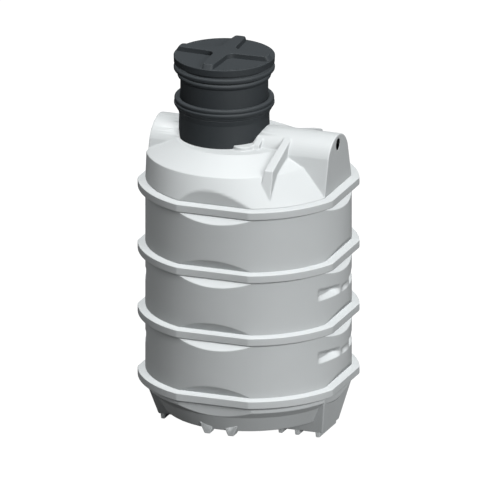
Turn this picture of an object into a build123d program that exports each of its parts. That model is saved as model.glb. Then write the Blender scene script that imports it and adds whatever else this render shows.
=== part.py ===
from build123d import *
import math
import os

os.makedirs("parts", exist_ok=True)

# Upright buried water tank with a dark access riser.  Millimetres, +Z up, the origin on the
# ground under the middle of the body.  X runs from outlet (-X, "left") to inlet (+X, "right"),
# -Y is "front", +Y is "back".

# Walls and fits
WALL = 10.0            # moulded wall of the tank
TUBE_WALL = 8.0        # wall of the riser tubes
FIT = 0.3              # gap round the riser tube in its socket

# Body
BODY_R = 750.0
FACET_DEPTH = 54.5     # how far the flats of the notches lie inside the round wall
RING_OUT = 56.0        # how far a ring stands out of the round wall
RING_FLAT_OUT = 61.5   # how far it stands out of the flats
RING_COUNT = 4
RING_PITCH = 483.5
RING_EDGE_Z = 1872.0   # upper outer edge of ring 1, the top one
RING_SLOPE = 7.0       # fall of the ring's top towards its edge
RING_BAND = 55.0       # upright face of the ring
RING_BEVEL = 25.0      # slanting underside of the ring
NOTCH_RISE = 75.0      # slanting cut above a ring on each flat
NOTCH_FALL = 44.0      # slanting cut below it

# Skirt and dished bottom
SKIRT_BAND = 29.5      # upright wall under ring 4
SKIRT_IN = 60.0        # first slant under it
SKIRT_FALL = 54.0
RIM_IN = 79.0          # second slant, down to the rim of the dish
RIM_FALL = 128.0
DISH_LOW = 48.0        # underside of the dish in the middle

# Skid beams along X and skid feet on the Y sides
BEAM_HALF = 173.0
BEAM_TAPER = 59.5      # how far its end leans in towards the ground
BEAM_Z = 36.0
TOOTH_W = 40.0
TOOTH_TIP = 30.0
TEETH_IN = (36.0, 196.0, 324.0)          # from the beam's end
FOOT_Z = 91.0
FOOT_X = 91.0
FOOT_ROOT = 84.0
FOOT_TIP = 42.0
FOOT_LEN = 80.0
FOOT_BACK = 14.0       # behind the rim
STRIP_W = 24.0         # strip that joins the two feet of a side
STRIP_Z = 106.0

# Shoulder and top
SHOULDER_IN = 100.0
SHOULDER_RISE = 195.0
CONE_RISE = 103.0
TOP_R = 432.0

# Pipe housings (ridges) along X
RIDGE_HALF = 203.0     # half width where the arch springs
RIDGE_FOOT = 280.0     # half width at the ring
RIDGE_ARCH_R = 224.0
RIDGE_RISE = 105.0     # top of the arch over the flat top
BORE_R = 46.0
BORE_RISE = 31.0

# Ribs beside the inlet housing
GUSSET_IN = 348.5      # from the flat's plane
GUSSET_W = 58.0
GUSSET_FALL = 150.0    # fall of its back between the arch and the nose
GUSSET_NOSE_IN = 236.0 # from the round wall
GUSSET_FOOT_IN = 148.0
SHORT_IN = 4.0         # its middle inside the lower tube's foot
SHORT_W = 46.0
SHORT_FOOT = 232.0
RIB_START = 73.0       # where both kinds of rib leave the arch
RIB_SINK = 8.0         # how far they start below the top of the arch

# Strap pockets on both X sides
POCKET_ANGLE = 18.5
POCKET_W = 236.0
POCKET_DEPTH = 45.0
POCKET_ZS = ((1109.0, 1202.0), (629.0, 719.0))
POCKET_SILL = 30.0

# Riser and lid
NECK_X = -188.0
UPPER_R = 320.0        # outside of the upper tube
LOWER_OUT = 8.0        # the lower tube is this much wider
LOWER_FLARE = 4.0      # and widens this much more to its foot
LOWER_TUBE_H = 210.0
HOLE_GAP = 8.0         # hole in the top inside the lower tube
SOCKET_OUT = 46.0
SOCKET_H = 94.0
SOCKET_LIP = 8.0       # slant of its upper edge
SOCKET_LIP_H = 12.0
SOCKET_TAPER = 24.0    # slant of its lower part
SOCKET_TAPER_H = 40.0
UPPER_TUBE_H = 273.0
LEDGE = 10.0
BEADS = ((-98.0, 20.0, 14.0), (-45.0, 49.0, 30.0))    # height from the tube's end, out, half height
LID_OUT = 44.0
LID_SKIRT = 12.0       # lap over the tube's end
LID_LAP = 20.0         # gap between the tube and the lap
LID_LEAN = 12.0        # how far the lid's side leans in
LID_RISE = 34.0        # top of the lid over the tube's end
LID_PLATE = 12.0
LID_SEAT = 6.0         # seat ring inside the tube's bore
CROSS_GAP = 15.0
CROSS_ARM_TIP = 80.0
CROSS_ARM_ROOT = 130.0
CROSS_H = 28.0

# Sizes that follow
FACET = BODY_R - FACET_DEPTH
RING_R = BODY_R + RING_OUT
RING_FACET = FACET + RING_FLAT_OUT
RING_EDGES = [RING_EDGE_Z - n * RING_PITCH for n in range(RING_COUNT)]
RING_HEIGHT = RING_BAND + RING_BEVEL
FACET_HALF = math.sqrt(BODY_R**2 - FACET**2)
SKIRT_TOP = RING_EDGES[-1] - RING_HEIGHT
SKIRT_LOW = SKIRT_TOP - SKIRT_BAND
SKIRT_R = BODY_R - SKIRT_IN
SKIRT_Z = SKIRT_LOW - SKIRT_FALL
RIM_R = SKIRT_R - RIM_IN
RIM_Z = SKIRT_Z - RIM_FALL
DISH_RISE = RIM_Z - DISH_LOW
DISH_R = (RIM_R**2 + DISH_RISE**2) / (2 * DISH_RISE)
BASE_Z = RING_EDGE_Z + RING_SLOPE              # where the shoulder starts
SHOULDER_R = BODY_R - SHOULDER_IN
SHOULDER_X = -SHOULDER_IN                      # keeps the outlet side upright
SHOULDER_Z = BASE_Z + SHOULDER_RISE
TOP_Z = SHOULDER_Z + CONE_RISE
RIDGE_TOP_Z = TOP_Z + RIDGE_RISE
ARCH_Z = RIDGE_TOP_Z - RIDGE_ARCH_R
BORE_Z = TOP_Z + BORE_RISE
GUSSET_X = FACET - GUSSET_IN
GUSSET_NOSE = BODY_R - GUSSET_NOSE_IN
GUSSET_FOOT = BODY_R - GUSSET_FOOT_IN
BEAM_END = FACET - BEAM_TAPER
BEAM_WALL = DISH_LOW - BEAM_Z
LOWER_TOP_R = UPPER_R + LOWER_OUT
LOWER_FOOT_R = LOWER_TOP_R + LOWER_FLARE
HOLE_R = LOWER_FOOT_R - TUBE_WALL - HOLE_GAP
SHORT_X = NECK_X + LOWER_FOOT_R - SHORT_IN
SOCKET_Z = TOP_Z + LOWER_TUBE_H
SOCKET_TOP_Z = SOCKET_Z + SOCKET_H
SOCKET_R = UPPER_R + SOCKET_OUT
UPPER_TOP_Z = SOCKET_TOP_Z + UPPER_TUBE_H
LID_R = UPPER_R + LID_OUT
LID_TOP_Z = UPPER_TOP_Z + LID_RISE
PLATE_Z = LID_TOP_Z - LID_PLATE
CROSS_REACH = LID_R - CROSS_GAP
REACH = 4 * RING_R                             # wider than anything, for cutting blocks
SIDES = {"right": 0, "back": 90, "left": 180, "front": 270}


def slab(z0, z1):
    return Pos(0, 0, (z0 + z1) / 2) * Box(REACH, REACH, z1 - z0)


def square(half, z0, z1):
    return Pos(0, 0, (z0 + z1) / 2) * Box(2 * half, 2 * half, z1 - z0)


def turned(shape, angle):
    return shape.rotate(Axis.Z, angle) if angle else shape


def spun(points, x=0.0):
    """Solid of revolution from (radius, height) points, about the upright line at x."""
    face = make_face(Plane.XZ * Polyline(*points, close=True))
    return Pos(x, 0, 0) * revolve(face, Axis.Z)


def prism_y(points, half):
    """Outline in the XZ plane, run half to each side along Y."""
    return extrude(make_face(Plane.XZ * Polyline(*points, close=True)), half, both=True)


def prism_x(points, x0, x1):
    """Outline in the YZ plane, run along X from x0 to x1."""
    face = make_face(Plane.YZ * Polyline(*points, close=True))
    return Pos(x0, 0, 0) * extrude(face, x1 - x0)


def sector(angle):
    wedge = make_face(Polyline((0, 0), (REACH, -REACH), (REACH, REACH), close=True))
    return turned(extrude(wedge, REACH), angle)


def half(sy):
    return Pos(0, sy * REACH / 2, 0) * Box(2 * REACH, REACH, 2 * REACH)


def quarter(sx, sy):
    return Pos(sx * REACH / 2, sy * REACH / 2, 0) * Box(REACH, REACH, 2 * REACH)


# Filled outlines of the tank.  Each is drawn inset by i, so that outline(0) less
# outline(WALL) leaves a wall of the right thickness.
def dish(i):
    """Dished bottom up to the first slant."""
    radius = DISH_R - i
    centre = DISH_LOW + DISH_R
    rim_r, top_r = RIM_R - 0.7 * i, SKIRT_R - 1.17 * i
    low = centre - radius
    mid = centre - math.sqrt(radius**2 - (rim_r / 2) ** 2)
    edge = centre - math.sqrt(radius**2 - rim_r**2)
    line = ThreePointArc((0, low), (rim_r / 2, mid), (rim_r, edge))
    line += Polyline((rim_r, edge), (top_r, SKIRT_Z), (0, SKIRT_Z), (0, low))
    return revolve(make_face(Plane.XZ * line), Axis.Z)


def notch(i, edge, upper, lower):
    """Cut on the +X flat round a ring whose upper outer edge is at height edge."""
    far = 2 * FACET_DEPTH
    top = edge + RING_SLOPE
    low = edge - RING_HEIGHT
    rise, fall = FACET_DEPTH / NOTCH_RISE, FACET_DEPTH / NOTCH_FALL
    f = FACET - i
    up = i * (math.hypot(1, rise) - 1) / rise
    dn = i * (math.hypot(1, fall) - 1) / fall
    head = (f + far, top + up + far / rise if upper else top + up)
    tail = [(f + far, low - dn - far / fall), (f, low - dn)] if lower else [(f + far, 0), (f, 0)]
    return prism_y([(f, top + up), head] + tail, FACET)


def pocket(i, z0, z1, angle):
    back = BODY_R - POCKET_DEPTH - i
    out = BODY_R + POCKET_DEPTH
    pts = [(back, z0 + POCKET_SILL - i), (back, z1 + i), (out, z1 + i),
           (out, z0 - i - POCKET_SILL), (BODY_R, z0 - i)]
    return turned(prism_y(pts, POCKET_W / 2 + i), angle)


def ring(i, edge):
    top, low = edge + RING_SLOPE, edge - RING_HEIGHT

    def section(outer, wall):
        return [(wall, low + i), (outer - i, edge - RING_BAND + 0.4 * i),
                (outer - i, edge - i), (wall, top - i)]

    arcs = section(RING_R, BODY_R)
    body = spun(arcs + [(0, top - i), (0, low + i)])
    flats = section(RING_FACET, FACET)
    across = prism_y(flats + [(-x, z) for x, z in reversed(flats)], 2 * RING_R)
    return body & across & turned(across, 90)


def trunk(i):
    """Everything from the first slant of the skirt up to the top of ring 1."""
    body = spun([(0, SKIRT_Z), (SKIRT_R - 1.35 * i, SKIRT_Z), (BODY_R - i, SKIRT_LOW + 0.45 * i),
                 (BODY_R - i, BASE_Z), (0, BASE_Z)])
    for edge in RING_EDGES:
        for angle in SIDES.values():
            cut = notch(i, edge, edge != RING_EDGES[0], edge != RING_EDGES[-1])
            body -= turned(cut, angle)
    for z0, z1 in POCKET_ZS:
        for angle in (-POCKET_ANGLE, POCKET_ANGLE, 180 - POCKET_ANGLE, 180 + POCKET_ANGLE):
            body -= pocket(i, z0, z1, angle)
    for edge in RING_EDGES:
        body += ring(i, edge)
    return body


def upper(i):
    """Slanting shoulder and the cone above it, cut by the four flats."""
    shift, cut, top = -0.2 * i, 1.2 * i, SHOULDER_Z - 0.54 * i
    low_face = Pos(shift, 0, BASE_Z) * Circle(BODY_R - cut)
    high_face = Pos(SHOULDER_X + shift, 0, top) * Circle(SHOULDER_R - cut)
    band = loft([low_face, high_face], ruled=True)
    cone = spun([(0, top), (SHOULDER_R - cut, top), (TOP_R - 0.23 * i, TOP_Z - i),
                 (0, TOP_Z - i)], SHOULDER_X)
    return (band + cone) & square(FACET - i, BASE_Z - 1, TOP_Z + 1)


def ridge(i, sx):
    """Housing over one pipe, from the neck out to the flat."""
    r = RIDGE_ARCH_R - i
    y = RIDGE_HALF - i
    z = ARCH_Z + math.sqrt(r**2 - y**2)
    foot = RIDGE_FOOT - 1.05 * i
    line = Polyline((-y, z), (-foot, BASE_Z), (foot, BASE_Z), (y, z))
    line += ThreePointArc((y, z), (0, ARCH_Z + r), (-y, z))
    body = extrude(make_face(Plane.YZ * line), FACET - i)
    return body if sx > 0 else turned(body, 180)


parts = {}


# Bottom
dish_out = dish(0)
parts["dished_bottom"] = dish_out - dish(WALL)


# Rings and wall courses
trunk_wall = trunk(0) - trunk(WALL)
for n, edge in enumerate(RING_EDGES, 1):
    low = SKIRT_Z if n == RING_COUNT else edge - RING_HEIGHT
    piece = trunk_wall & slab(low, edge + RING_SLOPE)
    for name, sy in (("front", -1), ("back", 1)):
        parts[f"ring_{n}_{name}"] = piece & half(sy)
for n in range(RING_COUNT - 1):
    piece = trunk_wall & slab(RING_EDGES[n + 1] + RING_SLOPE, RING_EDGES[n] - RING_HEIGHT)
    for name, angle in SIDES.items():
        parts[f"wall_{n + 1}_{name}"] = piece & sector(angle)


# Riser outlines used to trim the top
lower_out = spun([(0, TOP_Z - 3 * WALL), (LOWER_FOOT_R, TOP_Z - 3 * WALL), (LOWER_FOOT_R, TOP_Z),
                  (LOWER_TOP_R, SOCKET_Z), (0, SOCKET_Z)], NECK_X)
lower_in = spun([(0, TOP_Z - 4 * WALL), (LOWER_FOOT_R - TUBE_WALL, TOP_Z - 4 * WALL),
                 (LOWER_FOOT_R - TUBE_WALL, TOP_Z), (LOWER_TOP_R - TUBE_WALL, SOCKET_Z),
                 (LOWER_TOP_R - TUBE_WALL, SOCKET_Z + WALL), (0, SOCKET_Z + WALL)], NECK_X)
hole = Pos(NECK_X, 0, TOP_Z) * Cylinder(HOLE_R, LOWER_TUBE_H)


# Shoulder, top and pipe housings
upper_out = upper(0)
upper_wall = upper_out - upper(WALL)
for name, sx in (("right", 1), ("left", -1)):
    outside, inside = ridge(0, sx), ridge(WALL, sx)
    plate = outside & (Pos(sx * (FACET - WALL / 2), 0, BASE_Z) * Box(WALL, REACH, REACH))
    bore = Pos(sx * FACET, 0, BORE_Z) * Rot(0, 90, 0) * Cylinder(BORE_R, 4 * WALL)
    parts[f"housing_{name}_end"] = plate - bore
    shell = outside - inside - plate - upper_out - lower_out
    parts[f"housing_{name}_vault"] = shell
    upper_wall = upper_wall - inside - plate
upper_wall -= hole
for n1, sx in (("right", 1), ("left", -1)):
    for n2, sy in (("front", -1), ("back", 1)):
        parts[f"shoulder_{n2}_{n1}"] = upper_wall & slab(BASE_Z, SHOULDER_Z) & quarter(sx, sy)
for name, sy in (("front", -1), ("back", 1)):
    parts[f"top_{name}"] = upper_wall & slab(SHOULDER_Z, TOP_Z) & half(sy)


# Ribs beside the inlet housing
ridge_out = ridge(0, 1)
rib_top = (-RIB_START, RIDGE_TOP_Z - RIB_SINK)
long_rib = [rib_top, (-GUSSET_NOSE, rib_top[1] - GUSSET_FALL), (-GUSSET_FOOT, BASE_Z + 4 * WALL),
            (-GUSSET_FOOT, BASE_Z + WALL), (-GUSSET_NOSE, BASE_Z + WALL), (-RIB_START, SHOULDER_Z)]
short_rib = [rib_top, (-SHORT_FOOT, TOP_Z), (-RIB_START, TOP_Z)]
for kind, outline, x, w in (("gusset", long_rib, GUSSET_X, GUSSET_W),
                            ("short_rib", short_rib, SHORT_X, SHORT_W)):
    rib = prism_x(outline, x - w / 2, x + w / 2) - ridge_out - upper_out - lower_out
    rib = max(rib.solids(), key=lambda s: s.volume)
    parts[f"{kind}_front"] = rib
    parts[f"{kind}_back"] = rib.mirror(Plane.XZ)


# Riser
parts["riser_lower"] = lower_out - lower_in - upper_out
parts["riser_socket"] = spun([
    (UPPER_R + FIT, SOCKET_TOP_Z), (UPPER_R + FIT, SOCKET_Z + LEDGE),
    (UPPER_R - TUBE_WALL, SOCKET_Z + LEDGE), (UPPER_R - TUBE_WALL, SOCKET_Z),
    (SOCKET_R - SOCKET_TAPER, SOCKET_Z), (SOCKET_R, SOCKET_Z + SOCKET_TAPER_H),
    (SOCKET_R, SOCKET_TOP_Z - SOCKET_LIP_H), (SOCKET_R - SOCKET_LIP, SOCKET_TOP_Z)], NECK_X)
tube = spun([(UPPER_R - TUBE_WALL, SOCKET_Z + LEDGE), (UPPER_R, SOCKET_Z + LEDGE),
             (UPPER_R, UPPER_TOP_Z), (UPPER_R - TUBE_WALL, UPPER_TOP_Z)], NECK_X)
for rise, out, h in BEADS:
    z, r, root = UPPER_TOP_Z + rise, UPPER_R + out, UPPER_R - TUBE_WALL / 2
    tube += spun([(root, z - h), (r, z - h / 2), (r, z + h / 2), (root, z + h)], NECK_X)
parts["riser_upper"] = tube


# Lid
seat_r, lap_r = UPPER_R - TUBE_WALL - LID_SEAT, UPPER_R + LID_LAP
parts["lid"] = spun([
    (0, PLATE_Z), (seat_r, PLATE_Z), (seat_r, UPPER_TOP_Z), (lap_r, UPPER_TOP_Z),
    (lap_r, UPPER_TOP_Z - LID_SKIRT), (LID_R - LID_LEAN, UPPER_TOP_Z - LID_SKIRT),
    (LID_R, PLATE_Z), (LID_R, LID_TOP_Z), (0, LID_TOP_Z)], NECK_X)
bend = CROSS_REACH * 0.35
arm = make_face(Polyline((0, -CROSS_ARM_ROOT / 2), (bend, -CROSS_ARM_ROOT / 2),
                         (CROSS_REACH, -CROSS_ARM_TIP / 2), (CROSS_REACH, CROSS_ARM_TIP / 2),
                         (bend, CROSS_ARM_ROOT / 2), (0, CROSS_ARM_ROOT / 2), close=True))
arms = [turned(extrude(arm, CROSS_H), a) for a in SIDES.values()]
cross = (arms[0] + arms[1] + arms[2] + arms[3]) & Cylinder(CROSS_REACH, 4 * CROSS_H)
parts["lid_cross"] = Pos(NECK_X, 0, LID_TOP_Z) * cross


# Skids
def beam_shape(inset, floor):
    """Boat-shaped beam that widens to the flat's corners at the skirt."""
    end, wide = BEAM_END - inset, BEAM_HALF - inset
    top_end, top_wide = FACET - inset, FACET_HALF - inset
    along = [(0, floor), (end, floor), (top_end, SKIRT_LOW), (0, SKIRT_LOW)]
    across = [(-wide, floor), (wide, floor), (top_wide, SKIRT_LOW), (-top_wide, SKIRT_LOW)]
    return prism_y(along, RING_R) & prism_x(across, 0, RING_R)


def tooth(root, tip, z0, z1, length):
    """Crosswise foot, wider at the top, standing on z0."""
    return prism_y([(-tip / 2, z0), (tip / 2, z0), (root / 2, z1), (-root / 2, z1)], length)


body_out = dish_out + spun([(0, SKIRT_Z), (SKIRT_R, SKIRT_Z), (BODY_R, SKIRT_LOW),
                            (BODY_R, SKIRT_TOP), (0, SKIRT_TOP)])
beam = beam_shape(0, BEAM_Z) - beam_shape(BEAM_WALL, DISH_LOW)
for inward in TEETH_IN:
    beam += Pos(BEAM_END - inward, 0, 0) * tooth(TOOTH_W, TOOTH_TIP, 0, BEAM_Z, BEAM_HALF)
beam = beam - body_out
parts["skid_beam_right"] = beam
parts["skid_beam_left"] = turned(beam, 180)
foot_in = RIM_R - FOOT_LEN - FOOT_BACK
strip = Pos(0, -foot_in - STRIP_W / 2, STRIP_Z + RIM_Z / 2) * Box(2 * FOOT_X, STRIP_W, RIM_Z)
for sx in (-1, 1):
    foot = tooth(FOOT_ROOT, FOOT_TIP, FOOT_Z, RIM_Z, FOOT_LEN / 2)
    strip += Pos(sx * FOOT_X, -foot_in - FOOT_LEN / 2, 0) * foot
block = strip - body_out
parts["skid_block_front"] = block
parts["skid_block_back"] = turned(block, 180)


for name, shape in parts.items():
    export_step(shape, f"parts/{name}.step")
print(len(parts), "pieces", round(sum(p.volume for p in parts.values()) / 1e9, 4), "m3")
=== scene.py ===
import math

import bmesh
import bpy
from mathutils import Matrix, Vector


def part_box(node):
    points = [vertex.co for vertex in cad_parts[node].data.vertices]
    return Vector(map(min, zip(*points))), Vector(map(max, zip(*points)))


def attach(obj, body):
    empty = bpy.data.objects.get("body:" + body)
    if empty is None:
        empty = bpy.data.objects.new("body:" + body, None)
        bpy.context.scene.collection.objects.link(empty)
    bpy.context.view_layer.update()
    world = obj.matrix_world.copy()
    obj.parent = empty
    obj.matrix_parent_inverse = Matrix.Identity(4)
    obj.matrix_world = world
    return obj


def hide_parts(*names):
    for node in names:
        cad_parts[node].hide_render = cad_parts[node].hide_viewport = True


bl_info = {
    "name": "Buried Water Tank",
    "version": (1, 0, 0),
    "blender": (4, 5, 0),
    "location": "View3D > Sidebar > Tank",
    "description": "Moulded skin, riser, lid and studio for an upright buried water tank",
    "category": "Object",
}

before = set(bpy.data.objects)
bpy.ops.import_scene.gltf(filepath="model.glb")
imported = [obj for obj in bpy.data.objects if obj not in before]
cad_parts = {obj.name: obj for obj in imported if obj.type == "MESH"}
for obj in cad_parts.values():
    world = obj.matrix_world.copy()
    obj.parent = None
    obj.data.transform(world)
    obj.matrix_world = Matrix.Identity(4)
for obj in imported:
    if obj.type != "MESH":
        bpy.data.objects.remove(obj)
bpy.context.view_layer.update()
MM = 0.001
NODES = sorted(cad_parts)


def low(node, axis=2):
    """Least coordinate of a solid, its height unless an axis is given."""
    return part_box(node)[0][axis]


def high(node, axis=2):
    """Greatest coordinate of a solid, its height unless an axis is given."""
    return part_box(node)[1][axis]


# Places read from the solids
RING_FEET = [high(f"ring_{n}_front") for n in range(1, 5)]
RING_FACET = high("ring_1_back", 1)
FACET = high("housing_right_end", 0)
BODY_R = high("wall_1_back", 1)
TRUNK_TOP = RING_FEET[0]
DISH_TOP = high("dished_bottom")
DISH_LOW = low("dished_bottom")
SKIRT_R = high("dished_bottom", 0)
SHOULDER_TOP = high("shoulder_front_left")
TOP_Z = high("top_front")
NECK_X = (low("riser_lower", 0) + high("riser_lower", 0)) / 2


def length_group(cls_name, label, **props):
    """PropertyGroup of lengths, each given as (default, words)."""
    notes = {}
    for key, (value, words) in props.items():
        notes[key] = bpy.props.FloatProperty(name=key.replace("_", " ").capitalize(),
                                             description=words, default=value,
                                             unit="LENGTH", precision=4)
    return type(cls_name, (bpy.types.PropertyGroup,), {"__annotations__": notes, "__doc__": label})


TankBodySizes = length_group(
    "TankBodySizes", "Ribbed body",
    ring_out=(0.056, "How far a ring stands out of the round wall"),
    ring_slope=(0.007, "Fall of a ring's top towards its edge"),
    ring_band=(0.055, "Upright face of a ring"),
    ring_bevel=(0.025, "Slanting underside of a ring"),
    notch_rise=(0.075, "Height of the slanting cut above a ring on a flat"),
    notch_fall=(0.044, "Height of the slanting cut below a ring on a flat"),
    skirt_band=(0.0295, "Upright wall under the lowest ring"),
    rim_radius=(0.611, "Radius where the slanting skirt meets the dish"),
    rim_height=(0.130, "Height of that rim"),
    pocket_depth=(0.045, "Depth of a strap pocket"),
    strap_groove=(0.016, "Depth of the scoop across the post between two pockets"),
    pocket_sill=(0.030, "Height of a pocket's slanting floor"),
    pocket_head=(0.028, "Height of a pocket's slanting ceiling"),
    pocket_drop=(0.034, "Fall of a pocket's ceiling towards the post"),
    groove_low=(0.006, "How far the scoop across the post starts under the pocket"),
    groove_high=(0.048, "How far it reaches above the pocket's lower edge"),
    groove_ramp=(0.018, "Height of its slanting floor and ceiling"),
    corner=(0.005, "Rounding of the moulded corners"),
    wall=(0.010, "Thickness of the moulded wall"),
)


TankTopSizes = length_group(
    "TankTopSizes", "Shoulder, cone and pipe housings",
    shoulder_shift=(-0.100, "Middle of the shoulder circle along X"),
    shoulder_radius=(0.650, "Radius of the shoulder circle"),
    top_radius=(0.432, "Radius of the flat top"),
    arch_radius=(0.224, "Outer radius of a housing's arch"),
    arch_half=(0.203, "Half width where the arch springs"),
    foot_half=(0.280, "Half width of a housing at the top ring"),
    gusset_x=(0.347, "Middle of the long gussets along X"),
    gusset_width=(0.054, "Thickness of the long gussets"),
    short_x=(0.140, "Middle of the short ribs along X"),
    short_width=(0.046, "Thickness of the short ribs"),
    lug_radius=(0.085, "Radius of the round lugs at the riser"),
    lug_height=(0.026, "Height of these lugs over the flat top"),
    bore_radius=(0.046, "Radius of the pipe holes"),
    bore_height=(2.208, "Height of the pipe holes"),
    neck_radius=(0.320, "Radius of the way through the top under the riser"),
    voxel=(0.0048, "Fineness of the fused skin"),
)


RiserSizes = length_group(
    "RiserSizes", "Riser and lid",
    upper_radius=(0.320, "Outer radius of the upper tube"),
    lower_out=(0.008, "How much wider the lower tube is"),
    tube_wall=(0.008, "Wall of the tubes"),
    corner=(0.005, "Rounding of the riser's edges"),
    lid_wider=(0.005, "How far the lid stands out past its solid"),
    lid_higher=(0.004, "How far it stands above its solid"),
    panel_drop=(0.001, "Dishing of the lid's four panels"),
    arm_tip=(0.080, "Width of a lid rib at the rim"),
    arm_root=(0.112, "Width of a lid rib at the hub"),
    cross_rise=(0.010, "How far the lid's cross stands above its solid"),
)


SkidSizes = length_group(
    "SkidSizes", "Skid beams and feet",
    beam_floor=(0.036, "Underside of a beam between its teeth"),
    beam_half=(0.173, "Half width of a beam at its underside"),
    flat_half=(0.2805, "Half width of a beam at the skirt"),
    beam_taper=(0.0595, "How far a beam's end leans in towards the ground"),
    foot_x=(0.091, "Middle of a small foot from the tank's middle"),
    foot_height=(0.091, "Underside of a small foot"),
    foot_tip=(0.042, "Width of a small foot at its underside"),
    foot_root=(0.116, "Width of a small foot at its top"),
    foot_top=(0.180, "Top of a small foot, inside the skirt"),
    foot_near=(0.535, "Inner end of a small foot from the tank's middle"),
    foot_past=(0.016, "How far its outer end lies past the dish's rim"),
    foot_lean=(0.010, "How far that end leans in towards the ground"),
    strip_near=(0.520, "Inner side of the strip between two small feet"),
    strip_far=(0.540, "Outer side of that strip"),
    strip_height=(0.107, "Underside of that strip"),
    tooth_tip=(0.030, "Width of a tooth at the ground"),
    tooth_root=(0.042, "Width of a tooth at the beam"),
)


class TankFinish(bpy.types.PropertyGroup):
    """Colours of the two plastics, as sRGB hex"""
    tank_hex: bpy.props.StringProperty(name="Tank colour", default="#C6CACB",
                                       description="Light grey rotomoulded polyethylene")
    riser_hex: bpy.props.StringProperty(name="Riser colour", default="#2D3337",
                                        description="Anthracite polyethylene of riser and lid")
    floor_hex: bpy.props.StringProperty(name="Floor colour", default="#FFFFFF",
                                        description="Studio floor and backdrop")


class TankStage(bpy.types.PropertyGroup):
    """Camera and lamps"""
    azimuth: bpy.props.FloatProperty(name="Azimuth", default=math.radians(20.5),
                                     description="Camera turned from the front towards +X",
                                     subtype="ANGLE")
    elevation: bpy.props.FloatProperty(name="Elevation", default=math.radians(19.0),
                                       description="Camera above level", subtype="ANGLE")
    view_width: bpy.props.FloatProperty(name="View width", default=3.485, unit="LENGTH",
                                        description="Width of the picture at the tank's axis")
    key_power: bpy.props.FloatProperty(name="Top light", default=3.0,
                                       description="Strength of the broad light from above")
    side_power: bpy.props.FloatProperty(name="Side light", default=1.95,
                                        description="Strength of the light from the right front")
    left_power: bpy.props.FloatProperty(name="Left light", default=0.5,
                                        description="Strength of the soft light from the left")
    fill_power: bpy.props.FloatProperty(name="Fill", default=0.25,
                                        description="Strength of the even light from all round")


# Materials
def linear(hex_colour):
    """sRGB hex to linear RGBA."""
    values = [int(hex_colour[n:n + 2], 16) / 255 for n in (1, 3, 5)]
    return [v / 12.92 if v <= 0.04045 else ((v + 0.055) / 1.055) ** 2.4 for v in values] + [1.0]


def node(tree, kind, links=(), **settings):
    """Adds a shader node; links are (source output, own input) pairs."""
    made = tree.nodes.new(kind)
    for key, value in settings.items():
        if key.startswith("in_"):
            made.inputs[key[3:].replace("_", " ")].default_value = value
        else:
            setattr(made, key, value)
    for source, target in links:
        tree.links.new(source, made.inputs[target])
    return made


def moulded_polyethylene(name, hex_colour, roughness, specular, peel_mm, peel_depth_mm, tint):
    """Rotomoulded polyethylene: cast off a grit-blasted steel mould, so it is even and waxy,
    with a soft sheen, a faint orange-peel and slow changes of shade."""
    mat = bpy.data.materials.new(name)
    mat.use_nodes = True
    tree = mat.node_tree
    tree.nodes.clear()
    where = node(tree, "ShaderNodeTexCoord")
    cloud = node(tree, "ShaderNodeTexNoise", [(where.outputs["Object"], "Vector")],
                 in_Scale=1 / 0.35, in_Detail=2.0, in_Roughness=0.5)
    base = linear(hex_colour)
    ramp = node(tree, "ShaderNodeValToRGB", [(cloud.outputs["Fac"], "Fac")])
    ramp.color_ramp.elements[0].position = 0.3
    ramp.color_ramp.elements[1].position = 0.7
    ramp.color_ramp.elements[0].color = [c * (1 - tint) for c in base[:3]] + [1]
    ramp.color_ramp.elements[1].color = [min(1, c * (1 + tint)) for c in base[:3]] + [1]
    peel = node(tree, "ShaderNodeTexNoise", [(where.outputs["Object"], "Vector")],
                in_Scale=1 / (peel_mm * MM), in_Detail=3.0, in_Roughness=0.55)
    bump = node(tree, "ShaderNodeBump", [(peel.outputs["Fac"], "Height")],
                in_Distance=peel_depth_mm * MM, in_Strength=0.6)
    skin = node(tree, "ShaderNodeBsdfPrincipled",
                [(ramp.outputs["Color"], "Base Color"), (bump.outputs["Normal"], "Normal")],
                in_Roughness=roughness, in_IOR=1.51, in_Specular_IOR_Level=specular)
    node(tree, "ShaderNodeOutputMaterial", [(skin.outputs["BSDF"], "Surface")])
    return mat


# Mesh helpers
def mesh_object(name, verts, faces, smooth=True):
    """Object in the scene made of these vertices and faces."""
    mesh = bpy.data.meshes.new(name)
    mesh.from_pydata([tuple(v) for v in verts], [], faces)
    mesh.validate()
    mesh.polygons.foreach_set("use_smooth", [smooth] * len(mesh.polygons))
    obj = bpy.data.objects.new(name, mesh)
    bpy.context.scene.collection.objects.link(obj)
    return obj


def applied(obj):
    """Replaces the object's mesh by what its modifiers make of it."""
    graph = bpy.context.evaluated_depsgraph_get()
    graph.update()
    mesh = bpy.data.meshes.new_from_object(obj.evaluated_get(graph))
    obj.modifiers.clear()
    old = obj.data
    obj.data = mesh
    bpy.data.meshes.remove(old)
    return obj


def finished(obj, slot, nodes):
    """Gives a piece its finish, its body and the solids that it stands for."""
    obj.data.materials.clear()
    obj.data.materials.append(bpy.data.materials[MATERIALS[slot]])
    weighted = obj.modifiers.new("Even shading", "WEIGHTED_NORMAL")
    weighted.keep_sharp = True
    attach(obj, "root")
    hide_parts(*nodes)
    return obj


MATERIALS = {"tank_plastic": "rotomoulded polyethylene light grey",
             "riser_plastic": "moulded polyethylene anthracite"}


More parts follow.
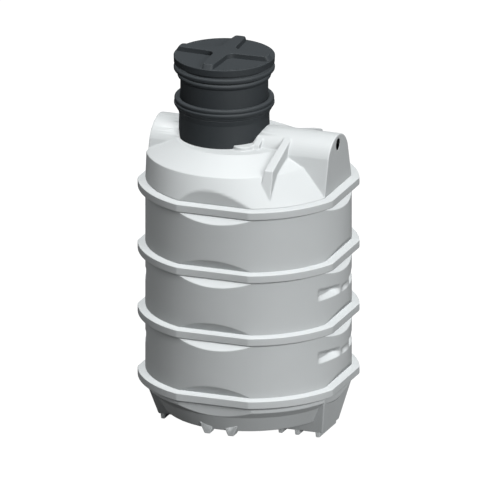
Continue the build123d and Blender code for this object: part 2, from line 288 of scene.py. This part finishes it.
def rounded(points, radius, closed=False, steps=4):
    """Outline with every corner turned into a short curve; the point count doesn't depend on
    the lengths, so that neighbouring outlines can be joined."""
    out = []
    count = len(points)
    for n, corner in enumerate(points):
        if not closed and n in (0, count - 1):
            out.append(Vector(corner))
            continue
        here = Vector(corner)
        before, after = Vector(points[n - 1]), Vector(points[(n + 1) % count])
        ends = []
        for other in (before, after):
            length = (other - here).length
            ends.append(here.lerp(other, min(radius / length, 0.45) if length > 1e-9 else 0.0))
        for step in range(steps + 1):
            t = step / steps
            a, b = ends[0].lerp(here, t), here.lerp(ends[1], t)
            out.append(a.lerp(b, t))
    return out


def grid_faces(rows, columns):
    """Quads between rows of vertices that each close into a ring."""
    faces = []
    for r in range(rows - 1):
        for c in range(columns):
            d = (c + 1) % columns
            faces.append((r * columns + c, r * columns + d, (r + 1) * columns + d,
                          (r + 1) * columns + c))
    return faces


def spun(name, outline, around=0.0, turns=144, corner=0.004):
    """Closed ring turned from a closed (radius, height) outline with rounded corners."""
    line = rounded(outline, corner, closed=True)
    rows = len(line)
    verts = []
    for point in line:
        for c in range(turns):
            a = 2 * math.pi * c / turns
            verts.append((around + point[0] * math.cos(a), point[0] * math.sin(a), point[1]))
    faces = grid_faces(rows, turns)
    faces += [((rows - 1) * turns + c, (rows - 1) * turns + (c + 1) % turns, (c + 1) % turns, c)
              for c in range(turns)]
    return facing_out(mesh_object(name, verts, faces))


def facing_out(obj):
    """Joins the vertices that coincide, turns the faces outwards and shades them smooth."""
    work = bmesh.new()
    work.from_mesh(obj.data)
    bmesh.ops.remove_doubles(work, verts=work.verts, dist=2e-5)
    bmesh.ops.recalc_face_normals(work, faces=work.faces)
    work.to_mesh(obj.data)
    work.free()
    obj.data.polygons.foreach_set("use_smooth", [True] * len(obj.data.polygons))
    return obj


def bar_faces(count):
    """Two ends and the sides of a bar with count corners to its section."""
    faces = [tuple(range(count))[::-1], tuple(range(count, 2 * count))]
    faces += [(n, (n + 1) % count, count + (n + 1) % count, count + n) for n in range(count)]
    return faces


def prism(name, outline, direction):
    """Closed prism from a planar outline of 3-D points, run along direction."""
    shift = Vector(direction)
    verts = [Vector(p) for p in outline] + [Vector(p) + shift for p in outline]
    return facing_out(mesh_object(name, verts, bar_faces(len(outline)), smooth=False))


def tapered_bar(name, section, start, end):
    """Closed bar; start and end place each corner of the section at the bar's two ends."""
    verts = [start(p) for p in section] + [end(p) for p in section]
    return facing_out(mesh_object(name, verts, bar_faces(len(section)), smooth=False))


def eased(obj, width, segments=3):
    """Rounds the edges of a closed mesh."""
    bevel = obj.modifiers.new("Edges", "BEVEL")
    bevel.width = width
    bevel.segments = segments
    bevel.limit_method = "ANGLE"
    bevel.angle_limit = math.radians(25)
    applied(obj)
    obj.data.polygons.foreach_set("use_smooth", [True] * len(obj.data.polygons))
    return obj


def joined(name, parts):
    """One object from several, which are removed."""
    work = bmesh.new()
    for part in parts:
        work.from_mesh(part.data)
        bpy.data.objects.remove(part)
    mesh = bpy.data.meshes.new(name)
    work.to_mesh(mesh)
    work.free()
    obj = bpy.data.objects.new(name, mesh)
    bpy.context.scene.collection.objects.link(obj)
    return obj


def cut(obj, tool):
    """Takes the closed mesh tool away from obj, and removes it."""
    change = obj.modifiers.new("Cut", "BOOLEAN")
    change.operation = "DIFFERENCE"
    change.solver = "EXACT"
    change.object = tool
    applied(obj)
    bpy.data.objects.remove(tool)
    return obj


# The trunk: dished bottom, rings and walls in one moulding
# Strap pockets: their two ends and the slants there, in degrees from the flat's middle, and the
# heights of each row
POCKET_FAR, POCKET_NEAR = 27.6, 6.6
FAR_SLANT, NEAR_SLANT = 3.0, 4.9
POCKET_ROWS = ((1.106, 1.204), (0.626, 0.722))
# Where columns of the skin stand, in degrees from a flat's middle, closest at bends of the wall
FINE_ANGLES = (0, 2, 4, 5.4, 6.6, 7.2, 8, 9, 10.2, 11.5, 13.6, 16, 18, 19.4, 19.75, 20, 20.25, 20.6,
               21.3, 21.9, 22.5, 23.5, 24.6, 25.6, 26.5, 27.2, 27.6, 28.1, 31, 34, 37.5, 41, 45)


def side_angles():
    """Angles right round, in degrees, as (angle, angle from the nearest flat's middle, flat)."""
    one = sorted({s * a for a in FINE_ANGLES for s in (-1, 1)} - {-45})
    return [(90 * k + a, a, k) for k in range(4) for a in one]


def softer(a, b, blend):
    """The smaller of two radii, with a soft change between them."""
    top = max(-a, -b)
    return -(top + blend * math.log(math.exp((-a - top) / blend) + math.exp((-b - top) / blend)))


def share(value):
    """The value kept between 0 and 1."""
    return min(1.0, max(0.0, value))


def pocket_depth(z, local, flat, body):
    """Depth of the strap pockets, scooped out from their far end towards the post, and of the
    shallow scoop across the post. Only the two X sides have them."""
    if flat % 2:
        return 0.0
    near = abs(local)
    for z0, z1 in POCKET_ROWS:
        if not z0 - 0.007 < z < z1:
            continue
        if near >= POCKET_NEAR:
            along = (POCKET_FAR - near) / (POCKET_FAR - POCKET_NEAR)
            head = (z1 - body.pocket_drop * along - z) / body.pocket_head
            floor = (z - z0) / body.pocket_sill
            ends = 1.0
            for turn, slant in ((POCKET_FAR - near, FAR_SLANT), (near - POCKET_NEAR, NEAR_SLANT)):
                ends *= math.sin(share(turn / slant) * math.pi / 2)
            scoop = 0.3 + 0.7 * min(1.0, along * 1.5)
            return body.pocket_depth * scoop * ends * share(min(head, floor))
        head = (z0 + body.groove_high - z) / body.groove_ramp
        floor = (z - z0 + body.groove_low) / body.groove_ramp
        across = (1 + math.cos(math.pi * near / POCKET_NEAR)) / 2
        return body.strap_groove * across * share(min(head, floor))
    return 0.0


def trunk_profile(local, body):
    """Corners of the skin at one angle from a flat's middle, from the top ring down."""
    c = math.cos(math.radians(local))
    foot = min(BODY_R, FACET / c)
    lens = max(0.0, BODY_R * c - FACET)
    up, down = lens / ((BODY_R - FACET) / body.notch_rise), lens / ((BODY_R - FACET) / body.notch_fall)
    edge_r = softer(BODY_R + body.ring_out, RING_FACET / c, 0.002)
    corners = []
    for n, top in enumerate(RING_FEET):
        edge = top - body.ring_slope
        under = edge - body.ring_band - body.ring_bevel
        if n:
            corners.append((BODY_R, top + up))
        corners += [(foot, top), (edge_r, edge), (edge_r, edge - body.ring_band), (foot, under)]
        if n < 3:
            corners.append((BODY_R, under - down))
    return corners


def wall_heights(body):
    """Heights of the skin's rows between the rings, with more of them where pockets are."""
    courses = []
    for upper, lower in zip(RING_FEET, RING_FEET[1:]):
        z_hi = upper - body.ring_slope - body.ring_band - body.ring_bevel - body.notch_fall - 0.012
        z_lo = lower + body.notch_rise + 0.012
        inner = []
        for z0, z1 in POCKET_ROWS:
            if z_lo < z0 < z_hi:
                sill = z0 + body.pocket_sill
                inner = [z1 + 0.004] + [z1 - (z1 - sill) * n / 10 for n in range(10)]
                inner += [sill + 0.003, sill - 0.003, (sill + z0) / 2, z0 + 0.003, z0 - 0.001,
                          z0 - 0.007]
        courses.append([z_hi] + inner + [z_lo])
    return courses


def skin_line(local, body, courses):
    """The skin at one angle from a flat's middle, from ring 1 down to the middle of the dish."""
    corners = trunk_profile(local, body)
    last_r = corners[-1][0]
    skirt_z = corners[-1][1] - body.skirt_band
    slant = (skirt_z - DISH_TOP) / (BODY_R - SKIRT_R)
    line = [(corners[0][0] - 0.012, corners[0][1])] + corners
    line += [(last_r, skirt_z - slant * (BODY_R - last_r)), (SKIRT_R, DISH_TOP)]
    smooth = rounded(line + [(body.rim_radius, body.rim_height)], body.corner, steps=3)
    points = [tuple(smooth[0])]
    start = 1
    for n, corner_count in enumerate((5, 6, 6, 7)):
        size = 4 * corner_count
        points += [tuple(p) for p in smooth[start:start + size]]
        start += size
        if n < len(courses):
            points += [(BODY_R, z) for z in courses[n]]
    rim, rise = body.rim_radius, body.rim_height - DISH_LOW
    points += [tuple(p) for p in rounded([(rim + 0.012, body.rim_height + 0.019),
                                          (rim, body.rim_height),
                                          (rim - 0.02, body.rim_height - 0.005)], 0.006)]
    for n in range(1, 15):
        r = (rim - 0.02) * (1 - n / 14)
        points.append((r, DISH_LOW + rise * (r / rim) ** 2))
    return points


class TANK_OT_trunk(bpy.types.Operator):
    """Models the ribbed body and the dished bottom as one moulded skin"""
    bl_idname = "tank.trunk"
    bl_label = "Ribbed body"

    def execute(self, context):
        body = context.scene.tank_body
        courses = wall_heights(body)
        columns = []
        for angle, local, flat in side_angles():
            a = math.radians(angle)
            column = []
            for r, z in skin_line(local, body, courses):
                r -= pocket_depth(z, local, flat, body)
                column.append((r * math.cos(a), r * math.sin(a), z))
            columns.append(column)
        rows, cols = len(columns[0]), len(columns)
        verts = [columns[c][r] for r in range(rows) for c in range(cols)]
        obj = facing_out(mesh_object("tank_body_skin", verts, grid_faces(rows, cols)))
        thick = obj.modifiers.new("Wall", "SOLIDIFY")
        thick.thickness = body.wall
        thick.offset = -1
        applied(obj)
        covered = [n for n in NODES if n.startswith(("ring_", "wall_")) or n == "dished_bottom"]
        finished(obj, "tank_plastic", covered)
        return {"FINISHED"}


# The top: shoulder, cone, pipe housings and ribs fused into one moulding
def top_solid(sizes, inset, turns=256):
    """Filled shoulder and cone, cut by the four upright flats."""
    facet = FACET - inset
    shift = sizes.shoulder_shift
    low_z = TRUNK_TOP - (0.05 if inset else 0.0)
    rings = [(0.0, BODY_R - inset, low_z), (0.0, BODY_R - inset, TRUNK_TOP),
             (shift, sizes.shoulder_radius - inset, SHOULDER_TOP),
             (shift, sizes.top_radius - inset * 0.3, TOP_Z - inset)]
    verts = []
    rows = []
    for (x0, r0, z0), (x1, r1, z1) in zip(rings, rings[1:]):
        for step in range(12):
            t = step / 12
            rows.append((x0 + (x1 - x0) * t, r0 + (r1 - r0) * t, z0 + (z1 - z0) * t))
    rows.append(rings[-1])
    for x, r, z in rows:
        for c in range(turns):
            a = 2 * math.pi * c / turns
            px, py = x + r * math.cos(a), r * math.sin(a)
            verts.append((max(-facet, min(facet, px)), max(-facet, min(facet, py)), z))
    faces = grid_faces(len(rows), turns)
    faces.append(tuple(range(turns))[::-1])
    faces.append(tuple(range((len(rows) - 1) * turns, len(rows) * turns)))
    return facing_out(mesh_object("top_fill", verts, faces, smooth=False))


def housing_outline(sizes, inset):
    """Section of a pipe housing in the YZ plane."""
    radius = sizes.arch_radius - inset
    centre = high("housing_right_end") - sizes.arch_radius
    half = sizes.arch_half - inset
    spring = math.asin(half / radius)
    foot = sizes.foot_half - inset
    bottom = TRUNK_TOP - (0.05 if inset else 0.0)
    points = [(-foot, bottom), (foot, bottom)]
    for step in range(25):
        a = spring - 2 * spring * step / 24
        points.append((radius * math.sin(a), centre + radius * math.cos(a)))
    return points


def housing(sizes, inset, side):
    """Filled pipe housing from the tank's middle out to the flat."""
    start = 0.03 if inset else 0.0
    points = [(side * start, y, z) for y, z in housing_outline(sizes, inset)]
    return prism("housing_fill", points, (side * (FACET - inset - start), 0, 0))


def rib(outline, x, width, side, draft=0.05):
    """Upright rib across X that gets wider towards its foot."""
    crest = max(z for _, z in outline)
    return tapered_bar("rib_fill", outline,
                       lambda p: (x - width / 2 - draft * (crest - p[1]), side * p[0], p[1]),
                       lambda p: (x + width / 2 + draft * (crest - p[1]), side * p[0], p[1]))


def neck_lug(turn, radius, height, side):
    """Round lug on the flat top, half under the riser, turned from the front towards +X."""
    reach = high("riser_lower", 0) - NECK_X
    x, y = NECK_X + reach * math.sin(turn), -side * reach * math.cos(turn)
    outline = [(x + radius * math.cos(n * math.pi / 16), y + radius * math.sin(n * math.pi / 16))
               for n in range(32)]
    return tapered_bar("lug_fill", outline, lambda p: (p[0], p[1], TOP_Z - 0.03),
                       lambda p: (x + 0.85 * (p[0] - x), y + 0.85 * (p[1] - y), TOP_Z + height))


def fused(obj, fineness):
    """Puts a voxel remesh on overlapping closed meshes."""
    fuse = obj.modifiers.new("Fuse", "REMESH")
    fuse.mode = "VOXEL"
    fuse.voxel_size = fineness


def drill(radius, placed):
    """Long cylinder, upright about the origin before it is placed."""
    bpy.ops.mesh.primitive_cylinder_add(vertices=96, radius=radius, depth=1.6)
    tool = bpy.context.active_object
    tool.data.transform(placed)
    return tool


class TANK_OT_top(bpy.types.Operator):
    """Models the shoulder, the cone, both pipe housings and their ribs as one moulded skin"""
    bl_idname = "tank.top"
    bl_label = "Shoulder and housings"

    def execute(self, context):
        sizes = context.scene.tank_top
        wall = context.scene.tank_body.wall
        apex = high("housing_right_end")
        long_rib = [(-0.05, apex - 0.010), (-0.514, apex - 0.158), (-0.602, TRUNK_TOP + 0.04),
                    (-0.602, TRUNK_TOP + 0.01), (-0.40, TRUNK_TOP + 0.01), (-0.05, 2.0)]
        short_rib = [(-0.05, apex - 0.016), (-0.15, apex - 0.051), (-0.222, apex - 0.075),
                     (-0.240, TOP_Z + 0.002), (-0.20, TOP_Z - 0.03), (-0.05, TOP_Z - 0.03)]
        parts = [top_solid(sizes, 0.0)]
        parts += [housing(sizes, 0.0, side) for side in (1, -1)]
        for side in (1, -1):
            parts.append(rib(long_rib, sizes.gusset_x, sizes.gusset_width, side))
            parts.append(rib(short_rib, sizes.short_x, sizes.short_width, side))
            parts.append(neck_lug(math.radians(45), sizes.lug_radius, sizes.lug_height, side))
        skin = joined("tank_top_skin", parts)
        fused(skin, sizes.voxel)
        soften = skin.modifiers.new("Soften", "SMOOTH")
        soften.factor = 0.5
        soften.iterations = 2
        thin = skin.modifiers.new("Thin", "DECIMATE")
        thin.ratio = 0.35
        applied(skin)
        hollow = joined("hollow", [top_solid(sizes, wall, 96)]
                        + [housing(sizes, wall, side) for side in (1, -1)])
        fused(hollow, 0.02)
        cut(skin, applied(hollow))
        lying = Matrix.Rotation(math.pi / 2, 4, "Y")
        cut(skin, drill(sizes.bore_radius, Matrix.Translation((0, 0, sizes.bore_height)) @ lying))
        cut(skin, drill(sizes.neck_radius, Matrix.Translation((NECK_X, 0, TOP_Z + 0.3))))
        skin.data.polygons.foreach_set("use_smooth", [True] * len(skin.data.polygons))
        covered = [n for n in NODES
                   if n.startswith(("shoulder_", "top_", "housing_", "gusset_", "short_rib_"))]
        finished(skin, "tank_plastic", covered)
        return {"FINISHED"}


class TANK_OT_riser(bpy.types.Operator):
    """Turns the lower tube, the socket and the beaded upper tube of the riser"""
    bl_idname = "tank.riser"
    bl_label = "Riser"

    def execute(self, context):
        riser = context.scene.tank_riser
        wall, up = riser.tube_wall, riser.upper_radius
        base, socket_z, socket_top = low("riser_lower"), low("riser_socket"), high("riser_socket")
        neck = up + riser.lower_out
        foot = high("riser_lower", 0) - NECK_X
        lower = spun("riser_lower_tube", [
            (foot, base), (foot, TOP_Z), (neck, socket_z - 0.04), (neck + 0.009, socket_z - 0.004),
            (neck + 0.009, socket_z), (neck - wall, socket_z), (foot - wall, TOP_Z),
            (foot - wall, base)], NECK_X)
        finished(lower, "riser_plastic", ["riser_lower"])
        out = high("riser_socket", 0) - NECK_X
        socket = spun("riser_socket_ring", [
            (up - wall, socket_z), (neck + 0.012, socket_z), (neck + 0.022, socket_z + 0.012),
            (neck + 0.022, socket_z + 0.019), (out - 0.004, socket_z + 0.034),
            (out, socket_z + 0.040), (out, socket_top - 0.040), (out - 0.007, socket_top - 0.034),
            (out - 0.007, socket_top - 0.027), (out - 0.002, socket_top - 0.020),
            (out - 0.004, socket_top - 0.006), (out - 0.012, socket_top),
            (up + 0.010, socket_top), (up + 0.0003, socket_top - 0.010),
            (up + 0.0003, socket_z + 0.010), (up - wall, socket_z + 0.010)],
            NECK_X, corner=riser.corner)
        finished(socket, "riser_plastic", ["riser_socket"])
        top = high("riser_upper")
        wide = high("riser_upper", 0) - NECK_X
        upper = spun("riser_upper_tube", [
            (up - wall, socket_z + 0.010), (up, socket_z + 0.010),
            (up, top - 0.134), (up + 0.018, top - 0.118), (up + 0.021, top - 0.111),
            (up + 0.021, top - 0.102), (up + 0.015, top - 0.094), (up + 0.009, top - 0.091),
            (up + 0.009, top - 0.086), (wide - 0.006, top - 0.070), (wide - 0.001, top - 0.063),
            (wide, top - 0.048), (wide - 0.004, top - 0.040), (wide - 0.012, top - 0.036),
            (up + 0.016, top - 0.044), (up, top - 0.044), (up, top),
            (up - wall, top)], NECK_X, corner=0.003)
        finished(upper, "riser_plastic", ["riser_upper"])
        return {"FINISHED"}


def cross_outline(reach, root, tip):
    """Four arms from half width root at the hub to half width tip at the rim, seen from above."""
    points = []
    for k in range(4):
        turn = Matrix.Rotation(k * math.pi / 2, 2)
        arm = [(root + 0.030, -root + 0.002), (reach * 0.7, -tip - 0.008), (reach, -tip),
               (reach + 0.003, 0), (reach, tip), (reach * 0.7, tip + 0.008),
               (root + 0.030, root - 0.002)]
        points += [turn @ Vector(p) for p in arm]
    return rounded(points, 0.022, True, 5)


class TANK_OT_lid(bpy.types.Operator):
    """Models the lid and its raised cross"""
    bl_idname = "tank.lid"
    bl_label = "Lid"

    def execute(self, context):
        riser = context.scene.tank_riser
        edge = high("lid", 0) - NECK_X + riser.lid_wider
        top, seat = high("lid") + riser.lid_higher, high("riser_upper")
        bore = riser.upper_radius - riser.tube_wall
        panel = top - riser.panel_drop
        lid = spun("lid_plate", [
            (0.0, top - 0.012), (bore - 0.006, top - 0.012), (bore - 0.006, seat),
            (bore + 0.028, seat), (bore + 0.028, seat - 0.018), (edge - 0.012, seat - 0.018),
            (edge - 0.002, seat - 0.012), (edge, top - 0.003), (edge - 0.003, top),
            (edge - 0.03, panel), (0.0, panel)], NECK_X, corner=0.002)
        finished(lid, "riser_plastic", ["lid"])
        tip, root = riser.arm_tip / 2, riser.arm_root / 2
        crest = high("lid_cross") + riser.cross_rise

        rows = []
        for grow, z, out in ((0.003, panel - 0.003, -0.005), (0.001, panel + 0.002, -0.008),
                             (0.0, crest - 0.004, -0.026), (-0.001, crest - 0.001, -0.029),
                             (-0.003, crest, -0.034)):
            ring = []
            line = cross_outline(edge + out, root, tip)
            for n, p in enumerate(line):
                along = (line[(n + 1) % len(line)] - line[n - 1]).normalized()
                q = p + grow * Vector((along[1], -along[0]))
                ring.append((NECK_X + q[0], q[1], z))
            rows.append(ring)
        count = len(rows[0])
        verts = [v for ring in rows for v in ring] + [(NECK_X, 0, crest), (NECK_X, 0, rows[0][0][2])]
        faces = grid_faces(len(rows), count)
        last = (len(rows) - 1) * count
        faces += [(last + n, last + (n + 1) % count, len(verts) - 2) for n in range(count)]
        faces += [((n + 1) % count, n, len(verts) - 1) for n in range(count)]
        cross = facing_out(mesh_object("lid_cross_ribs", verts, faces))
        sharp = cross.modifiers.new("Edges", "EDGE_SPLIT")
        sharp.split_angle = math.radians(70)
        finished(cross, "riser_plastic", ["lid_cross"])
        return {"FINISHED"}


# Middles of the three teeth under a skid beam, from the beam's end
TEETH_IN = (0.036, 0.196, 0.324)


def upright_wedge(tip, root, z0, z1):
    """Section that is tip wide at z0 and root wide at z1."""
    return [(-tip / 2, z0), (tip / 2, z0), (root / 2, z1), (-root / 2, z1)]


class TANK_OT_skids(bpy.types.Operator):
    """Models the boat-shaped skid beams with their teeth, and the feet on the other two sides"""
    bl_idname = "tank.skids"
    bl_label = "Skids"

    def execute(self, context):
        skids = context.scene.tank_skids
        top, body = high("skid_beam_right"), context.scene.tank_body
        floor = skids.beam_floor
        for side, name in ((1, "skid_beam_right"), (-1, "skid_beam_left")):
            end, wide = FACET - skids.beam_taper, skids.beam_half
            corners = []
            for x, y, z in ((end, wide, floor), (FACET, skids.flat_half, top)):
                corners += [(0, -y, z), (x, -y, z), (x, y, z), (0, y, z)]
            faces = [(3, 2, 1, 0), (4, 5, 6, 7), (0, 1, 5, 4), (1, 2, 6, 5), (2, 3, 7, 6), (3, 0, 4, 7)]
            verts = [(side * x, y, z) for x, y, z in corners]
            beam = eased(facing_out(mesh_object(name + "_form", verts, faces, smooth=False)), 0.010)
            for inward in TEETH_IN:
                x = side * (end - inward)
                section = upright_wedge(skids.tooth_tip, skids.tooth_root, 0.0, floor + 0.02)
                tooth = tapered_bar("tooth", section, lambda p: (x + p[0], -wide, p[1]),
                                    lambda p: (x + p[0], wide, p[1]))
                beam = joined(name + "_form", [beam, eased(tooth, 0.006)])
            cut(beam, under_body(body))
            finished(beam, "tank_plastic", [name])
        for side, name in ((-1, "skid_block_front"), (1, "skid_block_back")):
            feet = []
            for x in (-skids.foot_x, skids.foot_x):
                section = upright_wedge(skids.foot_tip, skids.foot_root, skids.foot_height,
                                        skids.foot_top)
                near, far = skids.foot_near, body.rim_radius + skids.foot_past
                lean = skids.foot_lean / 0.09
                foot = tapered_bar(
                    "foot", section, lambda p: (x + p[0], side * near, p[1]),
                    lambda p: (x + p[0], side * (far - lean * (skids.foot_top - p[1])), p[1]))
                feet.append(cut(eased(foot, 0.007), under_body(body)))
            reach, under = skids.foot_x, skids.strip_height
            inner, outer = side * skids.strip_near, side * skids.strip_far
            strip = prism("strip", [(-reach, inner, under), (reach, inner, under),
                                    (reach, outer, under), (-reach, outer, under)], (0, 0, 0.03))
            block = joined(name + "_form", feet + [cut(strip, under_body(body))])
            finished(block, "tank_plastic", [name])
        return {"FINISHED"}


def under_body(body):
    """Filled outline of the skirt and dish, to trim what stands under them."""
    rise = body.rim_height - DISH_LOW
    line = [(0.0, DISH_LOW + 0.0002)]
    line += [(body.rim_radius * n / 8, DISH_LOW + 0.0002 + rise * (n / 8) ** 2) for n in range(1, 9)]
    line += [(SKIRT_R, DISH_TOP), (BODY_R, high("skid_beam_right")), (BODY_R, DISH_TOP + 0.2),
             (0.0, DISH_TOP + 0.2)]
    verts, turns = [], 128
    for r, z in line:
        for c in range(turns):
            a = 2 * math.pi * c / turns
            verts.append((r * math.cos(a), r * math.sin(a), z))
    return facing_out(mesh_object("under_body", verts, grid_faces(len(line), turns)))


class TANK_OT_finishes(bpy.types.Operator):
    """Makes the two plastics"""
    bl_idname = "tank.finishes"
    bl_label = "Finishes"

    def execute(self, context):
        finish = context.scene.tank_finish
        moulded_polyethylene(MATERIALS["tank_plastic"], finish.tank_hex, roughness=0.48,
                             specular=0.5, peel_mm=6.0, peel_depth_mm=0.25, tint=0.015)
        moulded_polyethylene(MATERIALS["riser_plastic"], finish.riser_hex, roughness=0.70,
                             specular=0.6, peel_mm=5.0, peel_depth_mm=0.25, tint=0.03)
        return {"FINISHED"}


def lamp(name, strength, toward, size):
    """Sun of this angular size; toward points from the tank to it."""
    data = bpy.data.lights.new(name, "SUN")
    data.energy = strength
    data.angle = size
    obj = bpy.data.objects.new(name, data)
    obj.rotation_euler = Vector(toward).to_track_quat("Z", "Y").to_euler()
    bpy.context.scene.collection.objects.link(obj)
    return obj


class TANK_OT_stage(bpy.types.Operator):
    """Sets the camera, the lamps, the floor and the pale surroundings"""
    bl_idname = "tank.stage"
    bl_label = "Stage"

    def execute(self, context):
        scene = context.scene
        stage = scene.tank_stage
        scene.view_settings.view_transform = "Standard"
        data = bpy.data.cameras.new("Camera")
        data.type = "ORTHO"
        data.ortho_scale = stage.view_width
        camera = bpy.data.objects.new("Camera", data)
        flat = math.cos(stage.elevation)
        back = Vector((math.sin(stage.azimuth) * flat, -math.cos(stage.azimuth) * flat,
                       math.sin(stage.elevation)))
        target = Vector((-0.058, -0.022, 1.389))
        camera.location = target + 12.0 * back
        camera.rotation_euler = back.to_track_quat("Z", "Y").to_euler()
        scene.collection.objects.link(camera)
        scene.camera = camera

        side, left = math.radians(50), math.radians(-95)
        top = lamp("Top light", stage.key_power, (0.05, -0.05, 1.0), math.radians(10))
        top.data.use_shadow = False
        top.data.cycles.max_bounces = 0
        lamp("Side light", stage.side_power, (math.sin(side), -math.cos(side), 0.35),
             math.radians(25))
        soft = lamp("Left light", stage.left_power, (math.sin(left), -math.cos(left), 0.30),
                    math.radians(60))
        soft.visible_glossy = False

        world = bpy.data.worlds.new("Surroundings")
        world.use_nodes = True
        tree = world.node_tree
        tree.nodes.clear()
        path = node(tree, "ShaderNodeLightPath")
        fill = node(tree, "ShaderNodeBackground", in_Color=(1, 1, 1, 1), in_Strength=stage.fill_power)
        white = node(tree, "ShaderNodeBackground", in_Color=(1, 1, 1, 1), in_Strength=1.0)
        mix = node(tree, "ShaderNodeMixShader", [(path.outputs["Is Camera Ray"], 0),
                                                 (fill.outputs[0], 1), (white.outputs[0], 2)])
        node(tree, "ShaderNodeOutputWorld", [(mix.outputs[0], "Surface")])
        scene.world = world
        world.cycles_visibility.glossy = False

        floor = mesh_object("floor", [(-60, -60, 0), (60, -60, 0), (60, 60, 0), (-60, 60, 0)],
                            [(0, 1, 2, 3)], smooth=False)
        mat = bpy.data.materials.new("studio floor")
        mat.use_nodes = True
        tree = mat.node_tree
        tree.nodes.clear()
        colour = linear(scene.tank_finish.floor_hex)
        path = node(tree, "ShaderNodeLightPath")
        dull = node(tree, "ShaderNodeBsdfDiffuse", in_Color=(0.12, 0.12, 0.12, 1))
        glow = node(tree, "ShaderNodeEmission", in_Color=colour, in_Strength=0.9)
        lit = node(tree, "ShaderNodeAddShader", [(dull.outputs[0], 0), (glow.outputs[0], 1)])
        mix = node(tree, "ShaderNodeMixShader", [(path.outputs["Is Camera Ray"], 0),
                                                 (dull.outputs[0], 1), (lit.outputs[0], 2)])
        node(tree, "ShaderNodeOutputMaterial", [(mix.outputs[0], "Surface")])
        floor.data.materials.append(mat)
        return {"FINISHED"}


STEPS = (TANK_OT_finishes, TANK_OT_trunk, TANK_OT_top, TANK_OT_skids, TANK_OT_riser, TANK_OT_lid,
         TANK_OT_stage)


class TANK_PT_panel(bpy.types.Panel):
    """Lists the tank's steps and sizes"""
    bl_label = "Buried water tank"
    bl_space_type = "VIEW_3D"
    bl_region_type = "UI"
    bl_category = "Tank"

    def draw(self, context):
        for step in STEPS:
            self.layout.operator(step.bl_idname)
        for group in GROUPS:
            box = self.layout.box()
            values = getattr(context.scene, group)
            for key in values.__annotations__:
                box.prop(values, key)


GROUPS = {"tank_body": TankBodySizes, "tank_top": TankTopSizes, "tank_skids": SkidSizes,
          "tank_riser": RiserSizes, "tank_finish": TankFinish, "tank_stage": TankStage}
CLASSES = (*GROUPS.values(), *STEPS, TANK_PT_panel)


def register():
    for cls in CLASSES:
        bpy.utils.register_class(cls)
    for name, cls in GROUPS.items():
        setattr(bpy.types.Scene, name, bpy.props.PointerProperty(type=cls))


def unregister():
    for name in GROUPS:
        delattr(bpy.types.Scene, name)
    for cls in reversed(CLASSES):
        bpy.utils.unregister_class(cls)


def main():
    register()
    for step in STEPS:
        group, name = step.bl_idname.split(".")
        getattr(getattr(bpy.ops, group), name)()


if __name__ == "__main__":
    main()
